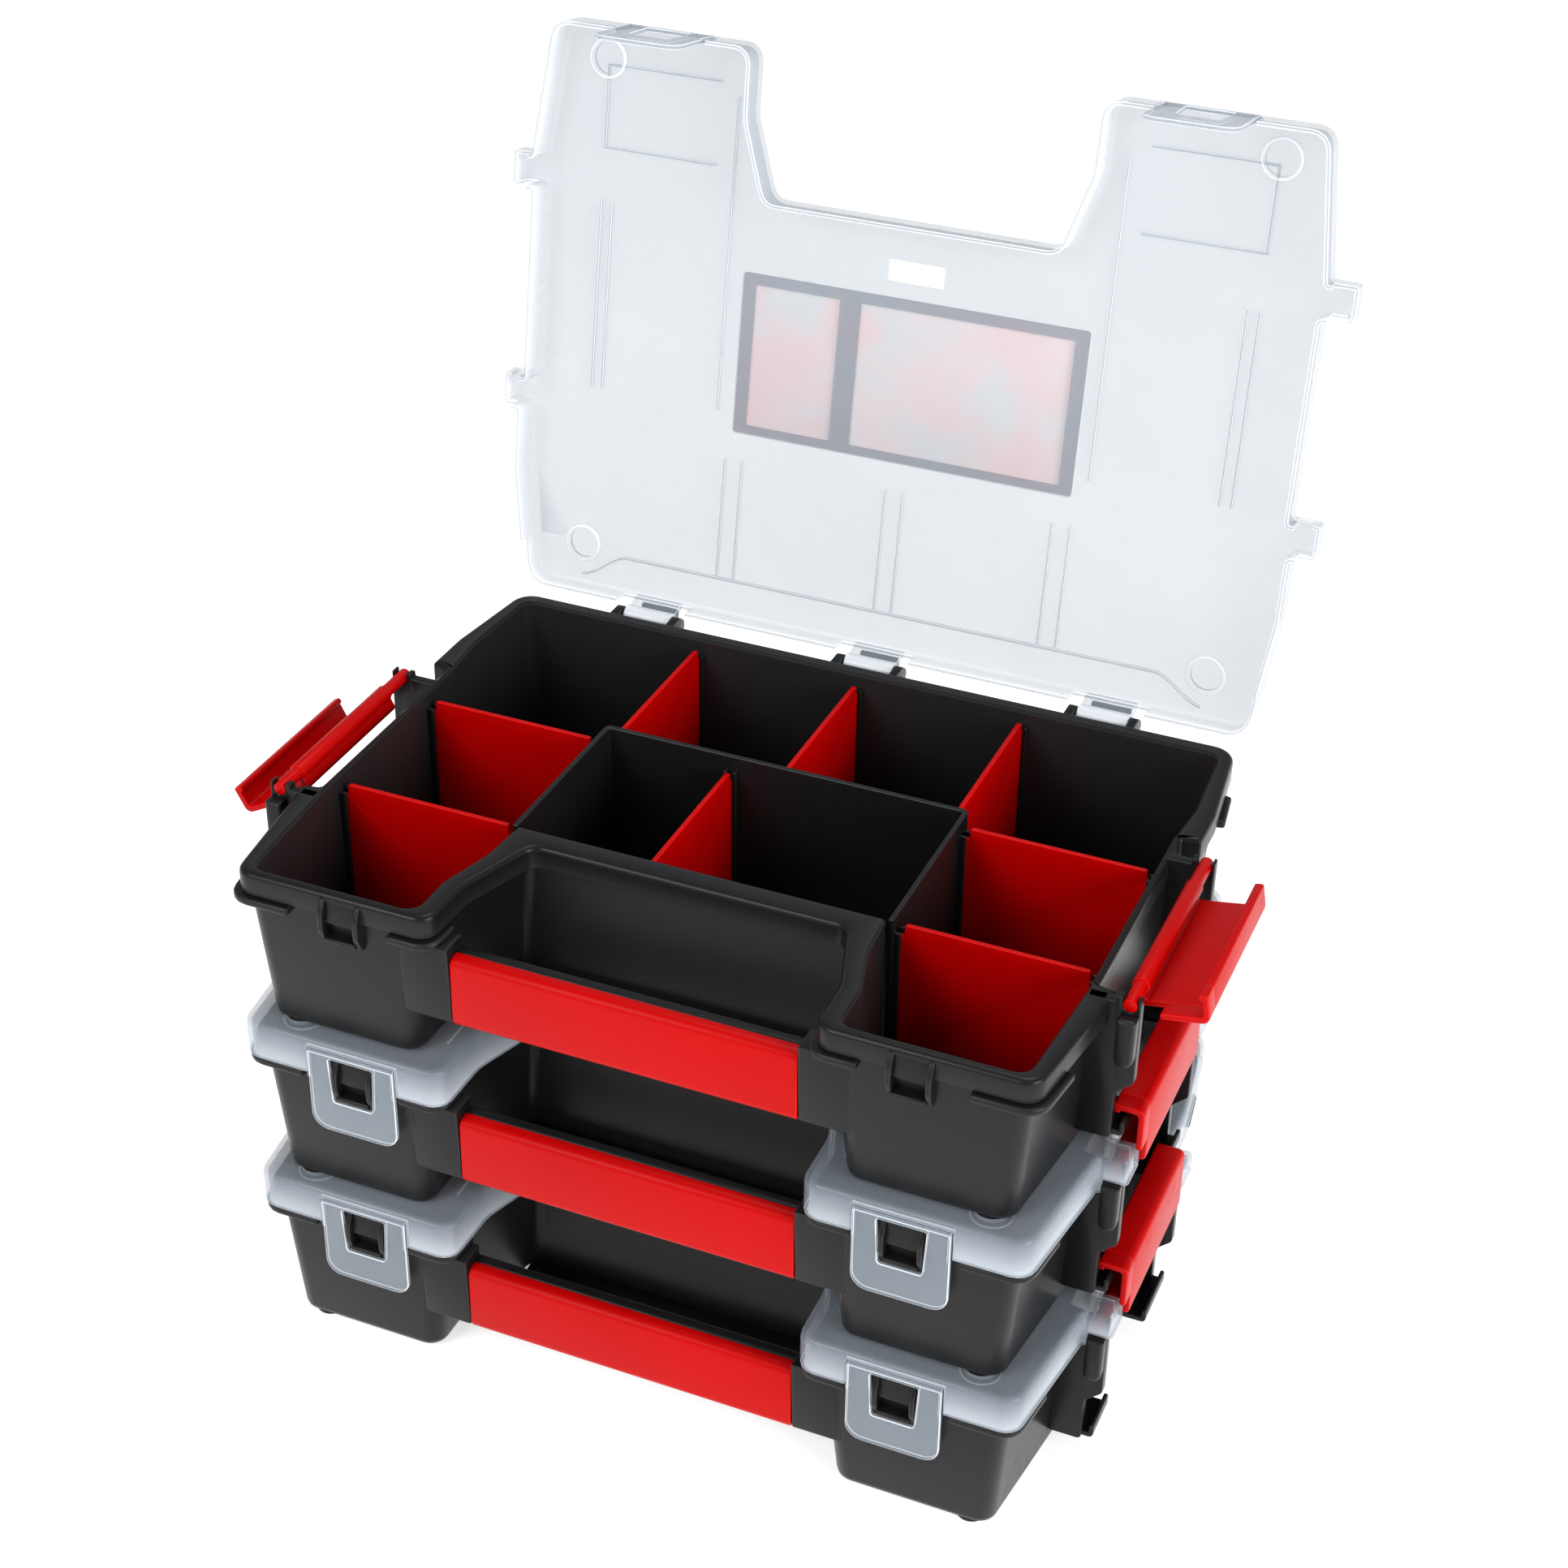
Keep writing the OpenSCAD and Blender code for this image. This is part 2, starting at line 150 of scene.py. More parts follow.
def hoop(outer, inner, low, high, edge=0.4, axis="z", steps=5):
    # a frame between two outlines with the same corners, all four of its edges rounded
    a = np.linspace(0, math.pi / 2, 4)
    inward, rise = edge * (1 - np.sin(a)), edge * (1 - np.cos(a))
    rings = [ringAt(outer, d, low + h, steps) for d, h in zip(inward, rise)]
    rings += [ringAt(outer, d, high - h, steps) for d, h in zip(inward[::-1], rise[::-1])]
    rings += [ringAt(inner, -d, high - h, steps) for d, h in zip(inward, rise)]
    rings += [ringAt(inner, -d, low + h, steps) for d, h in zip(inward[::-1], rise[::-1])]
    points, faces = skin(rings, closed=True)
    return turned((points, faces), axis)


def circleRing(at, radius, z, count=28):
    # count points at centre + radius (cos a, sin a), all at height z
    a = np.linspace(0, 2 * math.pi, count, endpoint=False)
    return np.column_stack([at[0] + radius * np.cos(a), at[1] + radius * np.sin(a), np.full(count, z)])


def roundBar(radius, low, high, centre, axis="x", edge=0.3, count=32):
    # a circle carried from low to high along the axis, its ends rounded
    ends = [(radius - edge, low), (radius - edge * 0.3, low + edge * 0.3), (radius, low + edge)]
    ends += [(radius, high - edge), (radius - edge * 0.3, high - edge * 0.3), (radius - edge, high)]
    rings = [circleRing(centre, r, h, count) for r, h in ends]
    return turned(capped(rings), axis)


def roundBox(x, y, r):
    # a rectangle from x[0], y[0] to x[1], y[1], its four corners of radius r
    return [[x[0], y[0], r], [x[0], y[1], r], [x[1], y[1], r], [x[1], y[0], r]]


def together(solids):
    # one list of points, with each solid's faces counted on from the ones before
    points, faces, base = [], [], 0
    for p, f in solids:
        points.append(np.asarray(p, float))
        faces += [[i + base for i in face] for face in f]
        base += len(p)
    return np.concatenate(points), faces


def mirrored(solid):
    # the same solid on the other side of x = 0
    return solid[0] * [-1, 1, 1], solid[1]


def bothSides(solids):
    # every solid and its mirror image
    return solids + [mirrored(s) for s in solids]


def swung(solid, pivot, axis, angle):
    # turned about a line through pivot: R (p - pivot) + pivot
    turn = np.array(Matrix.Rotation(angle, 3, axis))
    return (np.asarray(solid[0]) - pivot) @ turn.T + pivot, solid[1]


def markEdges(mesh, low=25, high=60):
    # a point's mark is 1 where an edge through it turns by low..high degrees: angle = acos(n1.n2)
    count, faces = len(mesh.loops), len(mesh.polygons)
    edgeOf, total = np.empty(count, int), np.empty(faces, int)
    normals, ends = np.empty(faces * 3), np.empty(len(mesh.edges) * 2, int)
    mesh.loops.foreach_get("edge_index", edgeOf)
    mesh.polygons.foreach_get("loop_total", total)
    mesh.polygons.foreach_get("normal", normals)
    mesh.edges.foreach_get("vertices", ends)
    faceOf, order = np.repeat(np.arange(faces), total), np.argsort(edgeOf, kind="stable")
    first = order[:-1][edgeOf[order][:-1] == edgeOf[order][1:]]
    second = order[1:][edgeOf[order][:-1] == edgeOf[order][1:]]
    n = normals.reshape(-1, 3)
    angle = np.degrees(np.arccos(np.clip((n[faceOf[first]] * n[faceOf[second]]).sum(1), -1, 1)))
    turning = edgeOf[first][(angle > low) & (angle < high)]
    mark = np.zeros(len(mesh.vertices))
    mark[ends.reshape(-1, 2)[turning].ravel()] = 1
    mesh.attributes.new("edge", "FLOAT", "POINT").data.foreach_set("value", mark)


sharpAngle = math.radians(32)  # edges that turn further than this stay crisp


def makePiece(name, solid, tier, material, body, nodes=()):
    # a mesh at the case's own place, welded, facing outwards, and riding on its CAD body
    points, faces = solid
    points = (np.asarray(points) + [0, caseY, rimZ[tier]]) * mm
    mesh = bpy.data.meshes.new(name)
    mesh.from_pydata(points, [], faces)
    bm = bmesh.new()
    bm.from_mesh(mesh)
    bmesh.ops.remove_doubles(bm, verts=bm.verts, dist=1e-7)
    bmesh.ops.recalc_face_normals(bm, faces=bm.faces)
    bm.to_mesh(mesh)
    bm.free()
    markEdges(mesh)
    # curved skins are all quads; everything else is a flat end or panel
    corners = np.empty(len(mesh.polygons), int)
    mesh.polygons.foreach_get("loop_total", corners)
    mesh.polygons.foreach_set("use_smooth", corners == 4)
    mesh.set_sharp_from_angle(angle=sharpAngle)
    mesh.materials.append(material)
    piece = bpy.data.objects.new(name, mesh)
    bpy.context.scene.collection.objects.link(piece)
    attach(piece, body)
    if nodes:
        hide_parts(*nodes)
    return piece


def mouldedGrain():
    # fine spark texture of a moulding tool, with slow flow marks and a little handling wear
    group = bpy.data.node_groups.new("mouldedGrain", "ShaderNodeTree")
    for label, kind in [("Vector", "NodeSocketVector"), ("Grain Scale", "NodeSocketFloat"),
                        ("Flow Scale", "NodeSocketFloat")]:
        group.interface.new_socket(label, in_out="INPUT", socket_type=kind)
    for label in ["Grain", "Flow", "Wear"]:
        group.interface.new_socket(label, in_out="OUTPUT", socket_type="NodeSocketFloat")
    nodes, links = group.nodes, group.links
    start, end = nodes.new("NodeGroupInput"), nodes.new("NodeGroupOutput")
    grain, flow, wear = [nodes.new("ShaderNodeTexNoise") for _ in range(3)]
    grain.inputs["Detail"].default_value = 3
    flow.inputs["Detail"].default_value = 2
    wear.inputs["Detail"].default_value = 8
    wear.inputs["Roughness"].default_value = 0.7
    for texture in (grain, flow, wear):
        links.new(start.outputs["Vector"], texture.inputs["Vector"])
    links.new(start.outputs["Grain Scale"], grain.inputs["Scale"])
    links.new(start.outputs["Flow Scale"], flow.inputs["Scale"])
    wear.inputs["Scale"].default_value = 45
    cut = nodes.new("ShaderNodeMapRange")
    cut.inputs["From Min"].default_value, cut.inputs["From Max"].default_value = 0.55, 0.75
    links.new(wear.outputs["Fac"], cut.inputs["Value"])
    links.new(grain.outputs["Fac"], end.inputs["Grain"])
    links.new(flow.outputs["Fac"], end.inputs["Flow"])
    links.new(cut.outputs["Result"], end.inputs["Wear"])
    return group


grainGroup = mouldedGrain()


def plastic(name, look):
    # colour = dark to light by the flow marks, with a painted highlight on marked edges; roughness by wear,
    # height by grain
    material = bpy.data.materials.new(name)
    material.use_nodes = True
    nodes, links = material.node_tree.nodes, material.node_tree.links
    shader = nodes["Principled BSDF"]
    coords = nodes.new("ShaderNodeTexCoord")
    grain = nodes.new("ShaderNodeGroup")
    grain.node_tree = grainGroup
    grain.inputs["Grain Scale"].default_value = look["grainScale"]
    grain.inputs["Flow Scale"].default_value = look["flowScale"]
    links.new(coords.outputs["Object"], grain.inputs["Vector"])
    tone = nodes.new("ShaderNodeMix")
    tone.data_type = "RGBA"
    tone.inputs["A"].default_value = (*look["dark"], 1)
    tone.inputs["B"].default_value = (*look["light"], 1)
    links.new(grain.outputs["Flow"], tone.inputs["Factor"])
    # rounded edges, marked on the mesh as "edge", take a lighter colour: a painted highlight along them
    mark, rim = nodes.new("ShaderNodeAttribute"), nodes.new("ShaderNodeMix")
    mark.attribute_name = "edge"
    rim.data_type = "RGBA"
    rim.inputs["B"].default_value = (*look["edge"], 1)
    links.new(mark.outputs["Fac"], rim.inputs["Factor"])
    links.new(tone.outputs["Result"], rim.inputs["A"])
    links.new(rim.outputs["Result"], shader.inputs["Base Color"])
    rough = nodes.new("ShaderNodeMapRange")
    rough.inputs["To Min"].default_value, rough.inputs["To Max"].default_value = look["roughness"]
    links.new(grain.outputs["Wear"], rough.inputs["Value"])
    links.new(rough.outputs["Result"], shader.inputs["Roughness"])
    bump = nodes.new("ShaderNodeBump")
    bump.inputs["Strength"].default_value = look["bump"]
    bump.inputs["Distance"].default_value = look["depth"]
    links.new(grain.outputs["Grain"], bump.inputs["Height"])
    links.new(bump.outputs["Normal"], shader.inputs["Normal"])
    shader.inputs["IOR"].default_value = look.get("ior", 1.5)
    shader.inputs["Specular IOR Level"].default_value = look.get("specular", 0.5)
    return material, shader


# each look's "edge" colour is lighter than its body colour: a painted highlight along the marked rounded
# edges
blackLook = {"dark": (0.006, 0.006, 0.0062), "light": (0.010, 0.010, 0.0105), "roughness": (0.30, 0.42),
             "grainScale": 2600, "flowScale": 18, "bump": 0.2, "depth": 0.0001, "specular": 0.2,
             "edge": (0.018, 0.018, 0.019)}
redLook = {"dark": (0.44, 0.0, 0.0), "light": (0.56, 0.0, 0.0), "roughness": (0.36, 0.48),
           "grainScale": 2200, "flowScale": 22, "bump": 0.15, "depth": 0.0001, "specular": 0.1,
           "edge": (0.70, 0.004, 0.003)}
# on the lid, edge, edgeAlpha and paintedEdgeGlow paint a white highlight and glow along its edges
lidLook = {"dark": (0.32, 0.375, 0.435), "light": (0.40, 0.455, 0.515), "roughness": (0.26, 0.4),
           "grainScale": 1500, "flowScale": 14, "bump": 0.01, "depth": 0.0001, "alpha": (0.30, 0.40),
           "edge": (0.86, 0.90, 0.95), "edgeAlpha": 0.8, "paintedEdgeGlow": 0.08}
cardLook = {"pale": (0.66, 0.60, 0.63), "cool": (0.59, 0.62, 0.65), "warm": (0.68, 0.56, 0.59)}

blackPlastic, _ = plastic("blackMoulding", blackLook)
redPlastic, _ = plastic("redMoulding", redLook)
frosted, frostedShader = plastic("frostedMoulding", lidLook)


def frostingAndPaintedGlow(material, shader, look):
    # the milky plastic lets more light through where its flow marks are thin, and least along its edges,
    # where the painted edge highlight shows
    nodes, links = material.node_tree.nodes, material.node_tree.links
    group = next(n for n in nodes if n.type == "GROUP")
    mark = next(n for n in nodes if n.type == "ATTRIBUTE")
    veil, dense = nodes.new("ShaderNodeMapRange"), nodes.new("ShaderNodeMix")
    veil.inputs["To Min"].default_value, veil.inputs["To Max"].default_value = look["alpha"]
    dense.inputs["B"].default_value = look["edgeAlpha"]
    links.new(group.outputs["Flow"], veil.inputs["Value"])
    links.new(veil.outputs["Result"], dense.inputs["A"])
    links.new(mark.outputs["Fac"], dense.inputs["Factor"])
    links.new(dense.outputs["Result"], shader.inputs["Alpha"])
    # a painted glow on the marked edges stands in for light piped out of the sheet: glow = edge mark x
    # paintedEdgeGlow
    paintedGlow = nodes.new("ShaderNodeMix")
    paintedGlow.data_type = "RGBA"
    paintedGlow.inputs["A"].default_value = (0, 0, 0, 1)
    paintedGlow.inputs["B"].default_value = (*look["edge"], 1)
    links.new(mark.outputs["Fac"], paintedGlow.inputs["Factor"])
    links.new(paintedGlow.outputs["Result"], shader.inputs["Emission Color"])
    shader.inputs["Emission Strength"].default_value = look["paintedEdgeGlow"]


frostingAndPaintedGlow(frosted, frostedShader, lidLook)


def cardPaper(look):
    # soft blotches seen through the lid: two noises mix three colours
    material = bpy.data.materials.new("labelCard")
    material.use_nodes = True
    nodes, links = material.node_tree.nodes, material.node_tree.links
    shader = nodes["Principled BSDF"]
    coords = nodes.new("ShaderNodeTexCoord")
    color = look["pale"]
    for scale, tint in [(28, look["cool"]), (40, look["warm"])]:
        noise, mix = nodes.new("ShaderNodeTexNoise"), nodes.new("ShaderNodeMix")
        edge = nodes.new("ShaderNodeMapRange")
        noise.inputs["Scale"].default_value = scale
        edge.inputs["From Min"].default_value, edge.inputs["From Max"].default_value = 0.42, 0.62
        mix.data_type = "RGBA"
        links.new(coords.outputs["Object"], noise.inputs["Vector"])
        links.new(noise.outputs["Fac"], edge.inputs["Value"])
        links.new(edge.outputs["Result"], mix.inputs["Factor"])
        if isinstance(color, tuple):
            mix.inputs["A"].default_value = (*color, 1)
        else:
            links.new(color, mix.inputs["A"])
        mix.inputs["B"].default_value = (*tint, 1)
        color = mix.outputs["Result"]
    links.new(color, shader.inputs["Base Color"])
    shader.inputs["Roughness"].default_value = 0.6
    return material


cardMaterial = cardPaper(cardLook)
print("materials done")

# The rings below share one set of corners, so that the skin runs cleanly from floor to rim to base.
tray = {
    "cavity": [[0, 0.5, 0], [128.2, 0.5, 4], [130.2, -35, 20], [128.6, -51.9, 1], [128.5, -53, 1],
               [128.4, -137, 1], [128.4, -139, 1], [125.3, -186, 4.5], [68.9, -186, 4.5], [68.8, -169, 12],
               [63.6, -150, 12], [62.2, -132, 1.2], [0, -132, 0]],
    "rim": [[0, 6.5, 0], [132.6, 6.5, 8], [137.2, -34, 20], [137.2, -52, 1], [130.8, -53, 1],
            [130.8, -137, 1], [136.8, -138, 1], [130, -190, 6.5], [62, -190, 6], [61.7, -168, 22],
            [55.8, -150, 10], [52.6, -140.3, 5], [0, -140.3, 0]],
    "body": [[0, 2.6, 0], [130, 2.6, 6], [131.4, -35, 20], [130.6, -51.9, 1], [130.5, -53, 1],
             [130.4, -137, 1], [130.4, -139, 1], [127.4, -189, 6.5], [66.4, -189, 6.5], [66.6, -169, 14],
             [61, -150, 12], [57, -136, 4], [0, -136, 0]],
    "base": [[0, 0.8, 0], [127.6, 0.8, 7], [129.6, -35, 20], [129.6, -51.9, 1], [129.6, -53, 1],
             [129.6, -137, 1], [129.6, -139, 1], [124, -186.4, 6.5], [70.6, -186.4, 6.5], [70.6, -169, 14],
             [65, -150, 12], [61, -134.4, 4], [0, -134.4, 0]],
    "height": 56.3, "floor": 1.8, "wall": 2, "rimHeight": 8.2, "rimThick": 1.8,
    "edge": 1.9, "foot": 1.2, "floorRound": 3, "baseRound": 3.2, "lipRound": 0.9,
    "flangeFillet": 0.5, "flangeUnder": 3,
}


def quarter(count=4):
    # steps of a quarter circle of radius 1, as (inward, upward) = (1 - sin a, 1 - cos a)
    a = np.linspace(0, math.pi / 2, count)
    return zip(1 - np.sin(a), 1 - np.cos(a))


def trayShell(s):
    # one skin of rings: up the cavity, over the rim, down its flange, in under it and down the body
    cavity, rim, body, base = [wholeOutline(s[k]) for k in ("cavity", "rim", "body", "base")]
    low, floor = -s["height"], -s["height"] + s["floor"]
    inner = insetOutline(base, s["wall"])
    bend, lip, turn = s["floorRound"], s["lipRound"], s["baseRound"]
    rings = [ringAt(inner, bend * d, floor + bend * h) for d, h in quarter()]
    rings += [ringAt(cavity, -lip * (1 - d), -lip * d) for d, _ in quarter()]
    rings += [ringAt(rim, s["edge"] * (1 - math.sin(a)), -s["edge"] * (1 - math.cos(a)))
              for a in np.linspace(0, math.pi / 2, 5)]
    fillet = s["flangeFillet"]
    rings += [ringAt(rim, 0, -s["rimHeight"] + fillet), ringAt(rim, fillet, -s["rimHeight"])]
    under = ringAt(rim, s["rimThick"], 0)
    wallTop = ringAt(body, 0, 0)
    # between the latches the flange has no room, so its inner face lies on the body
    tucked = np.abs(under[:, 0]) < np.abs(wallTop[:, 0]) + 0.2
    tucked &= (under[:, 1] < -50) & (under[:, 1] > -139)
    under[tucked] = wallTop[tucked] * [1.0005, 1, 1]
    rings += [under + [0, 0, z] for z in (-s["rimHeight"], -s["flangeUnder"])]
    rings += [wallTop + [0, 0, z] for z in (-s["flangeUnder"], -s["rimHeight"] - 1)]
    rings += [ringAt(base, turn * d, low + turn * h) for d, h in list(quarter())[::-1]]
    return capped(rings)


ledges = {
    "front": [[110.5, -187, 0.5], [110.5, -192.1, 1], [131.9, -192.1, 7.5], [134.9, -170, 1],
              [131, -170, 0.5], [127, -187, 2]],
    "notch": [[76.4, -187, 0.5], [76.4, -192.1, 1], [59.8, -192.1, 6.5], [59.6, -178, 1],
              [63, -178, 0.5], [67, -187, 2]],
    "rear": [[133, -9, 0.5], [136.4, -10, 1], [138.5, -26, 1], [134, -27, 0.5]],
    "z": [-10.9, -8.2],
}


def trayLedges(s):
    # thin shelves just under the rim, that the lid's skirt lands on
    return bothSides([slab(s[k], *s["z"], edge=0.9) for k in ("front", "notch", "rear")])


walls = {"x": [62.6, 64.4], "rear": [-65.9, -64.1], "front": -131.6, "top": -0.4, "low": -54.8,
         "rearSlots": [-60, 0, 60], "sideSlots": [-70.5, -128.5], "centreSlot": -18,
         "sideWall": 128.4, "slot": 2.2, "rib": [1.2, 2.0], "ribTop": -5.5,
         "lip": roundBox([-62.2, 62.2], [-140, -132.6], 0.8), "lipZ": [-56.3, -54.4]}


def centreBox(s):
    # one U-shaped wall: back and two sides of the box in the middle
    (a, b), (c, d), f = s["x"], s["rear"], s["front"]
    half = [[0, d, 0], [b, d, 2.2], [b, f, 0.3], [a, f, 0.3], [a, c, 1], [0, c, 0]]
    return slab(wholeOutline(half), s["low"], s["top"], edge=0.7)


def slotRibs(s, across, axis, wallAt, into):
    # a pair of upright ribs at across -+ (slot + rib) / 2, standing out of the wall by the rib's depth
    solids = []
    wide, deep = s["rib"]
    for side in (-1, 1):
        a = across + side * (s["slot"] + wide) / 2
        width, depth = [a - wide / 2, a + wide / 2], sorted([wallAt - into * 0.6, wallAt + into * deep])
        outline = roundBox(width, depth, 0.3) if axis == "y" else roundBox(depth, width, 0.3)
        solids.append(slab(outline, s["low"], s["ribTop"], edge=0.35, steps=2))
    return solids


def trayWalls(s):
    # the middle box, the low lip behind the grip, and the ribs of every divider slot
    solids = [centreBox(s), slab(s["lip"], *s["lipZ"], edge=0.6)]
    for x in s["rearSlots"]:
        solids += slotRibs(s, x, "y", 0.4, -1) + slotRibs(s, x, "y", s["rear"][1], 1)
    for y in s["sideSlots"]:
        ribs = slotRibs(s, y, "x", s["sideWall"] - 0.6, -1) + slotRibs(s, y, "x", s["x"][1], 1)
        solids += bothSides(ribs)
    for wallAt, into in [(s["rear"][0], -1), (-132, 1)]:
        solids += slotRibs(s, s["centreSlot"], "y", wallAt, into)
    return together(solids)


mounts = {
    "plates": [[-144, -140.5], [-66, -62.5]],
    "plate": [[129, -50, 0.5], [139.8, -50, 1.5], [139.8, -33, 3], [145.3, -28, 2], [145.3, 1.8, 0.45],
              [144.3, 1.8, 0.3], [144.3, -2.77, 2.25], [139.7, -2.77, 2.25], [139.7, 1.8, 0.3],
              [137.9, 1.8, 0.45], [137.9, 0, 0.5], [129, 0, 0.5]],
    "rails": [[-143, -127], [-85, -63]],
    "rail": [[129, -49, 0.3], [143.5, -49, 1.6], [143.5, -43.8, 0.7], [142, -43.8, 0.7],
             [142, -47, 0.8], [129, -47, 0.3]],
    "cup": [[139.4, -3.2, 0.8], [145.2, -3.2, 0.8], [145.2, -20, 2.8], [139.4, -20, 2.8]],
}


def latchMounts(s):
    # plates that hold each latch's pin, the low rails that the next latch hooks, and the pin's cup
    solids = [slab(s["plate"], *y, edge=0.4, axis="y") for y in s["plates"]]
    solids += [slab(s["rail"], *y, edge=0.3, axis="y") for y in s["rails"]]
    solids.append(slab(s["cup"], s["plates"][0][0] - 4.5, s["plates"][0][0] + 0.6, edge=1.2, axis="y"))
    return together(bothSides(solids))


catches = {
    "x": 92.5, "half": [5.2, 7.0],
    "cheek": [[-187, -1.4, 0.4], [-190.4, -1.4, 1.5], [-192.9, -6, 6], [-192.9, -12.5, 6], [-190.4, -17.4, 3],
              [-187, -18.6, 0.5]],
    "nose": [[-187, -16.6, 0.3], [-192.2, -16.6, 0.7], [-192.2, -14.8, 0.6], [-187, -13.8, 0.3]],
    "plate": [[-187, -1.5, 0.3], [-189.9, -2.2, 1.5], [-191.4, -9.6, 0.5], [-187, -9.6, 0.3]],
}


def trayCatches(s):
    # two cheeks with a nose between them, which a clasp's window drops over
    solids = []
    for side in (-1, 1):
        span = sorted([s["x"] + side * h for h in s["half"]])
        solids.append(slab(s["cheek"], *span, edge=0.6, axis="x"))
    solids += [slab(s[k], s["x"] - 5.4, s["x"] + 5.4, edge=0.2, axis="x") for k in ("nose", "plate")]
    return together(bothSides(solids))


handle = {
    "core": roundBox([-186.2, -182], [-37.2, -15.6], 0.2),
    "bar": roundBox([-182.9, -179], [-38.3, -13.8], 0.9),
    "coreX": 67.5, "blockX": [57.2, 74], "gripX": 57,
    "block": [[-179, -38.3, 1], [-187.45, -38.3, 1], [-188.95, -10, 0.3], [-179, -10, 0.5]],
    "grip": [[-183, -39, 0.4], [-187.8, -39, 2.8], [-187.8, -13.8, 2.8], [-183, -13.8, 0.4],
             [-183, -15.5, 0.3], [-186.3, -15.5, 0.6], [-186.3, -37.3, 0.6], [-183, -37.3, 0.3]],
}


def trayHandle(s):
    # a bar across the notch, with a block at each end
    bars = [slab(s[k], -s["coreX"], s["coreX"], edge=0.2, axis="x") for k in ("core", "bar")]
    return together(bars + bothSides([slab(s["block"], *s["blockX"], edge=0.8, axis="x")]))


hinge = {"stations": [-85, 0, 85], "pin": 2.0, "knuckle": 3.5, "knuckleW": 18, "gap": 18.7, "lug": 3,
         "lugSide": [[5, -0.2, 0.3], [12, -0.2, 3], [17, -3.5, 3], [14.5, -7.9, 2.5], [5, -7.9, 0.3]],
         "web": [[9.6, -1.7, 0.3], [7.6, 2.7, 1], [7.6, 5.2, 0.3], [8.7, 5.2, 0.5], [13.6, -0.6, 0.5]],
         "shelf": [[5.5, -9], [22.4, -9], [22.4, -3], [20.4, -3], [20.4, -7.6], [5.5, -7.6]]}


def hingeLugs(s):
    # at each station two lugs, the pin between them and the shelf behind it
    solids = []
    for x in s["stations"]:
        for side in (-1, 1):
            span = sorted([x + side * s["gap"] / 2, x + side * (s["gap"] / 2 + s["lug"])])
            solids.append(slab(s["lugSide"], *span, edge=0.4, axis="x"))
        solids.append(roundBar(s["pin"], x - s["gap"] / 2 - 1, x + s["gap"] / 2 + 1, lidHinge[1:], "x"))
        solids.append(slab([[y, z, 0.4] for y, z in s["shelf"]], x - 7, x + 7, edge=0.3, axis="x"))
    return together(solids)


feet = {"at": [[116, -8], [-116, -8], [116, -180], [-116, -180]], "radius": 5}


def trayFeet(s):
    # four short round feet, that sit in the sockets of the lid below
    low = -tray["height"] - tray["foot"]
    return together([roundBar(s["radius"], low, low + 2, at, "z", edge=0.5) for at in s["at"]])


lid = {
    "half": [[0, 8.8, 0], [13.4, 8.8, 0], [13.6, 8.8, 0], [71.4, 8.8, 0], [71.6, 8.8, 0], [98.4, 8.8, 0],
             [98.6, 8.8, 0], [133.9, 8.8, 8], [135.95, -7.9, 0], [135.98, -8.1, 0], [139.4, -34, 20],
             [139.4, -56, 1], [141.4, -56, 0], [141.6, -56, 0], [147.2, -56, 1.5], [147.2, -68, 1.5],
             [144.4, -68, 0],
             [144.2, -68, 0], [139.3, -68, 0], [139.1, -68, 0], [137.4, -68, 0.8], [137.4, -134, 0.8],
             [139.1, -134, 0], [139.3, -134, 0], [144.2, -134, 0], [144.4, -134, 0], [147.2, -134, 1.5],
             [147.2, -146, 1.5], [139.25, -146, 0], [138.95, -146, 0], [138, -146, 1], [131.9, -192.2, 6.5],
             [108.7, -192.2, 0], [108.5, -192.2, 0], [76.5, -192.2, 0], [76.3, -192.2, 0],
             [59.8, -192.2, 6], [59.5, -168.4, 18], [53.5, -150, 10], [51, -142.5, 5], [0, -142.5, 0]],
    "top": 5.7, "thick": 1.6, "skirt": 1.5, "edge": 2.4, "skirtLow": -8.0,
    "recess": roundBox([-62, 62], [-116, -59], 1.5), "recessDepth": 0.7,
    "windows": [roundBox([-57, -26], [-112, -62.5], 0.6), roundBox([-18.5, 57], [-112, -62.5], 0.6)],
    "slot": roundBox([-10, 10], [-128.5, -121], 0.6),
    "socket": [5.6, 7.0], "socketFloor": [4.3, 2.7],
    "lipRound": 0.55, "fillet": 1.1, "rearSkirt": -3.5, "earSkirt": -2.8, "cutSkirt": 2.4, "hingeSkirt": 2.6,
}


def skirtBottom(xy):
    # how far down the skirt reaches at each point of its outline
    x, y = np.abs(xy[:, 0]), xy[:, 1]
    z = np.full(len(x), lid["skirtLow"])
    z = np.where(y > -8, lid["rearSkirt"], z)
    stationGap = np.min(np.abs(xy[:, 0][:, None] - np.array(hinge["stations"])), axis=1)
    z = np.where((y > 5) & (stationGap < 13.5), lid["hingeSkirt"], z)
    z = np.where((x > 141.5) | ((x > 139.1) & (y < -145)), lid["earSkirt"], z)
    pinSlot = (x > 139.2) & (x < 144.3) & (((y < -66) & (y > -69)) | ((y < -133) & (y > -137)))
    claspGap = (y < -190) & (x > 76.4) & (x < 108.6)
    return np.where(pinSlot | claspGap, lid["cutSkirt"], z)


def within(loop, at):
    # even-odd rule: a point is inside where a ray from it crosses the loop an odd number of times
    a, b = np.asarray(loop)[:, :2], np.roll(np.asarray(loop)[:, :2], -1, axis=0)
    x, y = at[:, :1], at[:, 1:2]
    rise = np.where(b[:, 1] == a[:, 1], 1e-9, b[:, 1] - a[:, 1])
    meets = a[:, 0] + (y - a[:, 1]) * (b[:, 0] - a[:, 0]) / rise
    spans = (a[:, 1] > y) != (b[:, 1] > y)
    return (spans & (x < meets)).sum(axis=1) % 2 == 1


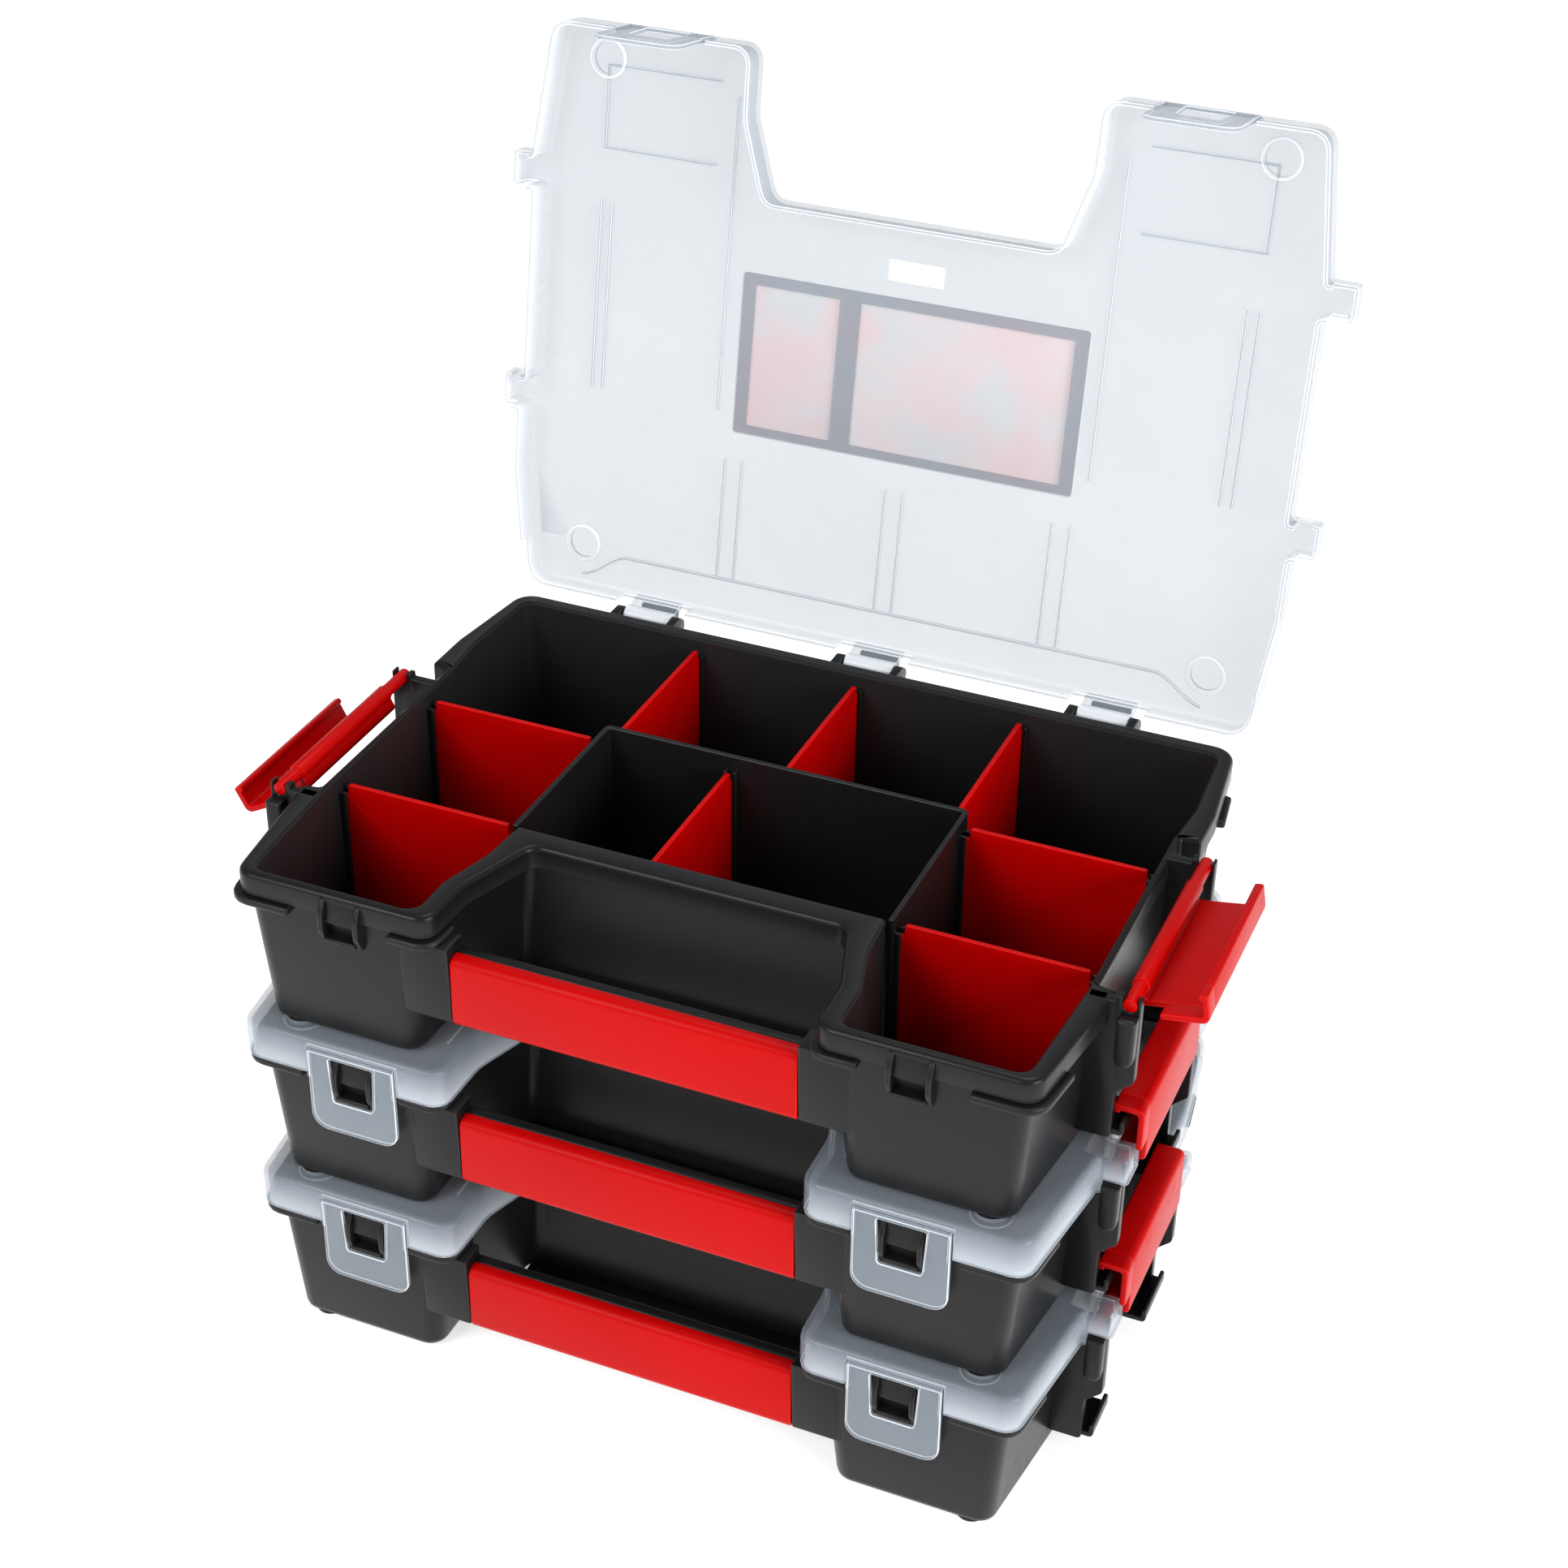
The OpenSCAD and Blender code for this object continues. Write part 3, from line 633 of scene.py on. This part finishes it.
def fillPlane(loops):
    # triangles of a flat face whose first loop is its edge and whose others are holes
    flat = [Vector(p[:2]) for loop in loops for p in loop]
    edges, base = [], 0
    for loop in loops:
        n = len(loop)
        edges += [(base + i, base + (i + 1) % n) for i in range(n)]
        base += n
    points, _, faces = delaunay_2d_cdt(flat, edges, [], 4, 1e-6)[:3]
    z = loops[0][0][2]
    points, faces = np.array([[p[0], p[1], z] for p in points]), np.array(faces)
    middles = points[faces].mean(axis=1)
    solid = np.ones(len(faces), bool)
    for hole in loops[1:]:
        solid &= ~within(hole, middles)
    return points, faces[solid].tolist()


def lidShell(s):
    # rings over the top edge, down the skirt, round its lip and up inside, with flat faces for the panel
    outline = wholeOutline(s["half"])
    under = s["top"] - s["thick"]
    rings = [ringAt(outline, s["edge"] * (1 - math.sin(a)), s["top"] - s["edge"] * (1 - math.cos(a)), 4)
             for a in np.linspace(0, math.pi / 2, 5)]
    low = skirtBottom(ringAt(outline, 0, 0, 4)[:, :2])
    lip, fillet = s["lipRound"], s["fillet"]
    turnIn = [(lip * d, lip * h) for d, h in [(0, 2), (0, 1), (0.134, 0.5), (0.5, 0.134), (1, 0)]]
    turnIn += [(s["skirt"] - d, h) for d, h in [(0.3, 0), (0.1, 0.1), (0, 0.3)]]
    rings += [ringAt(outline, d, 0, 4) + np.column_stack([0 * low, 0 * low, low + h]) for d, h in turnIn]
    rings += [ringAt(outline, s["skirt"] + fillet * (1 - math.cos(a)), under - fillet * (1 - math.sin(a)), 4)
              for a in np.linspace(0, math.pi / 2, 5)]
    solids = [skin(rings)]
    topLoops, underLoops = [rings[0]], [rings[-1]]
    recessFloor = s["top"] - s["recessDepth"]
    recessTop, recessLow = ringAt(s["recess"], 0, s["top"]), ringAt(s["recess"], 0, recessFloor)
    solids.append(skin([recessTop, recessLow]))
    topLoops.append(recessTop)
    floorLoops = [recessLow]
    for window in s["windows"]:
        high, low = ringAt(window, 0, recessFloor), ringAt(window, 0, under)
        solids.append(skin([high, low]))
        floorLoops.append(high)
        underLoops.append(low)
    high, low = ringAt(s["slot"], 0, s["top"]), ringAt(s["slot"], 0, under)
    solids.append(skin([high, low]))
    topLoops.append(high)
    underLoops.append(low)
    for at in feet["at"]:
        (r, outer), (floor, boss) = s["socket"], s["socketFloor"]
        sunk = [circleRing(at, r, s["top"]), circleRing(at, r, floor)]
        solids += [skin(sunk), fillPlane([sunk[1]])]
        topLoops.append(sunk[0])
        raised = [circleRing(at, outer - d, under + h) for d, h in [(0, 0), (0.3, boss - under + 0.3)]]
        raised += [circleRing(at, outer - d, boss) for d in (0.7, 1.3)]
        solids += [skin(raised), fillPlane([raised[-1]])]
        underLoops.append(raised[0])
    solids += [fillPlane(topLoops), fillPlane(floorLoops), fillPlane(underLoops)]
    return together(solids)


ridges = {
    "height": 1.1, "width": 1.0,
    "pairs": {"x": [-60, 0, 60], "half": 3.2, "y": [-50, -6]},
    "arm": {"x": 67.5, "y": [-174, -66]},
    "side": {"x": [112, 116], "y": [-132, -66]},
    "front": [roundBox([74, 116], [-178.4, -177.4], 0.3), roundBox([115, 116], [-177.5, -150], 0.3),
              roundBox([74, 116], [-150.6, -149.6], 0.3)],
}


def lidRidges(s):
    # low ribs under the panel, that close on the tray's walls and dividers
    top = lid["top"] - lid["thick"] - 0.01
    z, w = [top - s["height"], top], s["width"] / 2
    solids = []
    for x in s["pairs"]["x"]:
        for side in (-1, 1):
            a = x + side * s["pairs"]["half"]
            solids.append(slab(roundBox([a - w, a + w], s["pairs"]["y"], 0.4), *z, edge=0.3))
    arm = s["arm"]
    solids += bothSides([slab(roundBox([arm["x"] - w, arm["x"] + w], arm["y"], 0.4), *z, edge=0.3)])
    for x in s["side"]["x"]:
        solids += bothSides([slab(roundBox([x - w, x + w], s["side"]["y"], 0.4), *z, edge=0.3)])
    # the long rear rib turns outwards in an S near each corner
    t = np.linspace(0, 1, 14)
    bend = np.column_stack([98 + 18 * t, -5.5 + 9 * t * t * (3 - 2 * t)])
    line = np.vstack([[[-x, y] for x, y in bend[::-1]], bend])
    rear = np.vstack([line + [0, w], (line - [0, w])[::-1]])
    solids.append(slab([[x, y, 0] for x, y in rear], *z, edge=0.25, steps=1))
    solids += bothSides([slab(f, *z, edge=0.2) for f in s["front"]])
    return together(solids)


def lidKnuckles(s):
    # a bored barrel at each station, joined to the lid's rear edge by a web
    solids = []
    outer, bore, soft = s["knuckle"], s["pin"] + 0.08, 0.3
    for x in s["stations"]:
        span = [x - s["knuckleW"] / 2, x + s["knuckleW"] / 2]
        walk = [(outer, span[0] + soft), (outer, span[1] - soft), (outer - soft, span[1])]
        walk += [(bore, span[1]), (bore, span[0]), (outer - soft, span[0])]
        barrel = skin([circleRing(lidHinge[1:], r, h, 32) for r, h in walk], closed=True)
        solids += [turned(barrel, "x"), slab(s["web"], *span, edge=0.3, axis="x")]
    return together(solids)


clasp = {"x": 92.5, "half": 15.5, "low": -29, "top": 1.2, "window": [7.5, -17, -0.2], "y": [-192.5, -190.9],
         "axis": [-191.7, 1.4], "pin": 0.8}


def claspTongue(s):
    # a rounded plate with a window, hung from a thin hinge line
    x, h, w = s["x"], s["half"], s["window"]
    outer = [[x - h, s["top"], 0.3], [x + h, s["top"], 0.3], [x + h, s["low"], 5.5], [x - h, s["low"], 5.5]]
    inner = [[x - w[0] - 0.4, w[2], 0.8], [x + w[0] + 0.4, w[2], 0.8],
             [x + w[0] - 0.5, w[1], 1], [x - w[0] + 0.5, w[1], 1]]
    frameSolid = hoop(outer, inner, *s["y"], edge=0.45, axis="y")
    bar = roundBar(s["pin"], x - h, x + h, s["axis"], "x", edge=0.2, count=16)
    beads = [slab(roundBox(across, [-9, 1], 0.4), s["y"][0] - 0.35, s["y"][1], edge=0.3, axis="y")
             for across in ([x - h, x - h + 0.9], [x + h - 0.9, x + h])]
    return together([frameSolid, bar] + beads)


latch = {
    "hook": [[142, -1.8, 0.3], [148.7, -1.8, 1.6], [148.7, 21.5, 2.4], [139, 21.5, 0.8], [139, 18.5, 0.7],
             [141, 18.5, 0.7], [141, 19.5, 0.3], [146.7, 19.5, 1.2], [146.7, 0.2, 1.2], [142, 0.2, 0.3]],
    "strip": [[146.7, 6.5, 0.8], [148.7, 6.5, 0.8], [148.7, 21.5, 2.4], [139, 21.5, 0.8], [139, 18.5, 0.7],
              [141, 18.5, 0.7], [141, 19.5, 0.3], [146.7, 19.5, 1.2]],
    "y": [-133.3, -76.5], "stripY": [-139.5, -133], "barrel": 2.8, "pin": 2.2, "pinY": [-144, -62.5],
}


def latchBody(s):
    # a hooked channel with a short strip beyond it, on a barrel and its pin
    centre = [latchPivot[0], latchPivot[2]]
    return together([slab(s["hook"], *s["y"], edge=0.45, axis="y"),
                     slab(s["strip"], *s["stripY"], edge=0.45, axis="y"),
                     roundBar(s["barrel"], *s["y"], centre, "y", edge=0.5),
                     roundBar(s["pin"], *s["pinY"], centre, "y", edge=0.4)])


def dividerPlate(length, top, place):
    # a thin plate with narrower tabs at its top corners and a rounded bead along its top edge
    low = -54.3
    outline = [[0, low, 0.5], [length, low, 0.5], [length, top - 4, 0.4], [length - 2.5, top - 4, 0.5],
               [length - 2.5, top, 0.8], [2.5, top, 0.8], [2.5, top - 4, 0.5], [0, top - 4, 0.4]]
    points, faces = slab(outline, -0.8, 0.8, edge=0.3, axis="y")
    return place(points), faces


def lengthwise(x, y):
    # a plate's length runs along y from (x, y)
    return lambda p: np.column_stack([x - p[:, 1], y + p[:, 0], p[:, 2]])


def crosswise(x, y, side=1):
    # a plate's length runs along x from (x, y), to the left where side is -1
    return lambda p: np.column_stack([side * (x + p[:, 0]), y + p[:, 1], p[:, 2]])


dividers = {
    "rear_left": (64.0, -3, lengthwise(-60, -63.8)), "rear_middle": (64.0, -3, lengthwise(0, -63.8)),
    "rear_right": (64.0, -3, lengthwise(60, -63.8)), "centre": (65.5, -5, lengthwise(-18, -131.7)),
    "right_rear": (63.4, -3, crosswise(64.7, -70.5)), "right_front": (63.4, -3, crosswise(64.7, -128.5)),
    "left_rear": (63.4, -3, crosswise(64.7, -70.5, -1)),
    "left_front": (63.4, -3, crosswise(64.7, -128.5, -1)),
}
card = {"outline": roundBox([-61.7, 61.7], [-115.7, -59.3], 1.2), "z": [5.06, 5.5]}


def build(tier):
    # one case; the top one is turned open: lid by -lidOpen about x, latches by latchOpen about y
    top = tier == "top"
    lidBody = "top_lid" if top else "root"

    def lidPlace(solid):
        return swung(solid, lidHinge, "X", -lidOpen) if top else solid

    makePiece(f"{tier}_tray_shell", together([trayShell(tray)] + trayLedges(ledges)), tier, blackPlastic,
              "root", [f"{tier}_tray"])
    for part, solid in [("walls", trayWalls(walls)), ("latch_mounts", latchMounts(mounts)),
                        ("catches", trayCatches(catches)), ("handle", trayHandle(handle)),
                        ("hinge_lugs", hingeLugs(hinge)), ("feet", trayFeet(feet))]:
        makePiece(f"{tier}_tray_{part}", solid, tier, blackPlastic, "root")
    makePiece(f"{tier}_grip_cap", slab(handle["grip"], -handle["gripX"], handle["gripX"], edge=0.5, axis="x"),
              tier, redPlastic, "root", [f"{tier}_grip"])
    makePiece(f"{tier}_lid_shell", lidPlace(lidShell(lid)), tier, frosted, lidBody, [f"{tier}_lid"])
    makePiece(f"{tier}_lid_ridges", lidPlace(lidRidges(ridges)), tier, frosted, lidBody)
    makePiece(f"{tier}_lid_knuckles", lidPlace(lidKnuckles(hinge)), tier, frosted, lidBody)
    makePiece(f"{tier}_card", lidPlace(slab(card["outline"], *card["z"], edge=0.1)), tier, cardMaterial,
              lidBody, [f"{tier}_label_card"])
    for side, flip in (("right", lambda s: s), ("left", mirrored)):
        claspNode, latchNode = f"{tier}_clasp_{side}", f"{tier}_latch_{side}"
        makePiece(f"{claspNode}_tongue", lidPlace(flip(claspTongue(clasp))), tier, frosted, claspNode,
                  [claspNode])
        body = swung(latchBody(latch), latchPivot, "Y", latchOpen[side]) if top else latchBody(latch)
        makePiece(f"{latchNode}_hook", flip(body), tier, redPlastic, latchNode, [latchNode])
    for name, (length, high, place) in dividers.items():
        dividerNode = f"{tier}_divider_{name}"
        makePiece(f"{dividerNode}_plate", dividerPlate(length, high, place), tier, redPlastic,
                  dividerNode if top else "root", [dividerNode])
    print(tier, "case done")


for tierName in tiers:
    build(tierName)

studio = {
    "aim": (0, -0.05, 0.15), "floor": 4.0, "floorColor": (0.9, 0.9, 0.9), "floorGlow": 0.6, "sky": 0.42,
    "lamps": [
        {"name": "keyPanel", "at": (-0.7, -1.5, 1.2), "size": 0.9, "watts": 17},
        {"name": "fillPanel", "at": (1.7, -0.6, 0.8), "size": 1.0, "watts": 24},
        {"name": "topPanel", "at": (0.1, 0.5, 1.9), "size": 0.8, "watts": 9},
    ],
}
cameraAt = {"azimuth": 0.3935, "elevation": 0.5622, "roll": 0.0163, "lens": 63.964,
            "place": (296.29, -777.75, 479.27)}


def addFloor(s):
    # a square grid of 8 by 8 white sheets, a hair below the feet
    size = s["floor"]
    grid = np.linspace(-size, size, 9)
    x, y = np.meshgrid(grid, grid)
    points = np.column_stack([x.ravel(), y.ravel(), np.full(x.size, -0.0002)])
    i = (np.arange(8)[:, None] * 9 + np.arange(8)).ravel()
    mesh = bpy.data.meshes.new("floor")
    mesh.from_pydata(points, [], np.stack([i, i + 1, i + 10, i + 9], 1).tolist())
    floor = bpy.data.objects.new("floor", mesh)
    material = bpy.data.materials.new("floorPaper")
    material.use_nodes = True
    shader = material.node_tree.nodes["Principled BSDF"]
    shader.inputs["Base Color"].default_value = (*s["floorColor"], 1)
    shader.inputs["Roughness"].default_value = 0.9
    shader.inputs["Emission Color"].default_value = (1, 1, 1, 1)
    shader.inputs["Emission Strength"].default_value = s["floorGlow"]
    mesh.materials.append(material)
    bpy.context.scene.collection.objects.link(floor)


def addLight(s):
    # a white world and three square panels aimed at the middle of the stack
    world = bpy.data.worlds.new("studio")
    world.use_nodes = True
    nodes, links = world.node_tree.nodes, world.node_tree.links
    nodes["Background"].inputs["Color"].default_value = (1, 1, 1, 1)
    # plain white behind the object, dimmer as a source of light
    path, level = nodes.new("ShaderNodeLightPath"), nodes.new("ShaderNodeMapRange")
    level.inputs["To Min"].default_value, level.inputs["To Max"].default_value = s["sky"], 1.0
    links.new(path.outputs["Is Camera Ray"], level.inputs["Value"])
    links.new(level.outputs["Result"], nodes["Background"].inputs["Strength"])
    bpy.context.scene.world = world
    for lamp in s["lamps"]:
        data = bpy.data.lights.new(lamp["name"], "AREA")
        data.size, data.energy = lamp["size"], lamp["watts"]
        light = bpy.data.objects.new(lamp["name"], data)
        light.location = lamp["at"]
        aim = Vector(s["aim"]) - Vector(lamp["at"])
        light.rotation_euler = aim.to_track_quat("-Z", "Y").to_euler()
        bpy.context.scene.collection.objects.link(light)


def addCamera(s):
    # the camera looks down by its elevation and across by its azimuth, then rolls about its own axis
    a, e, r = s["azimuth"], s["elevation"], s["roll"]
    forward = Vector((-math.sin(a) * math.cos(e), math.cos(a) * math.cos(e), -math.sin(e)))
    right = Vector((math.cos(a), math.sin(a), 0))
    up = right.cross(forward)
    across = right * math.cos(r) + up * math.sin(r)
    upright = up * math.cos(r) - right * math.sin(r)
    x, y, z = s["place"]
    data = bpy.data.cameras.new("camera")
    data.sensor_width, data.lens = 36, s["lens"]
    data.clip_start, data.clip_end = 0.05, 20
    camera = bpy.data.objects.new("camera", data)
    turn = Matrix((across, upright, -forward)).transposed().to_4x4()
    camera.matrix_world = Matrix.Translation(Vector((x, y + caseY, z + rimZ["top"])) * mm) @ turn
    bpy.context.scene.collection.objects.link(camera)
    bpy.context.scene.camera = camera


addFloor(studio)
addLight(studio)
addCamera(cameraAt)
bpy.context.scene.view_settings.view_transform = "Standard"
print("studio done")
